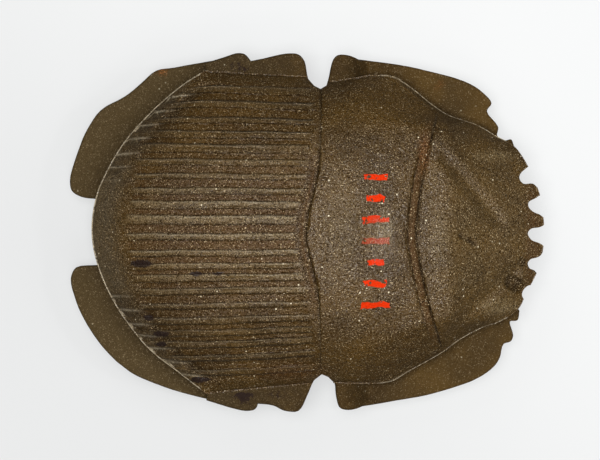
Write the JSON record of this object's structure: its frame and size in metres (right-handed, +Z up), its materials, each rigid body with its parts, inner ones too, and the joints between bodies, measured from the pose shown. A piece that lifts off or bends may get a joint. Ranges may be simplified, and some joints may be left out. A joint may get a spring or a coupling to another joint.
{
  "type": "scarab amulet",
  "caption": "Carved stone beetle amulet with a high domed back, ribbed wing cases, a smooth neck shield, a toothed head and thick folded legs in a lower layer, pierced below for a cord",
  "frame": {"origin": "on the surface that the amulet lies on, under the middle of its bounding box", "axes": "+X runs to the toothed head, +Y to the beetle's left side, +Z up through the domed back"},
  "size_m": [0.032, 0.0242, 0.0135],
  "materials": {
    "stone": "satin"
  },
  "bodies": {
    "root": {"scarab": "stone"}
  },
  "joints": []
}
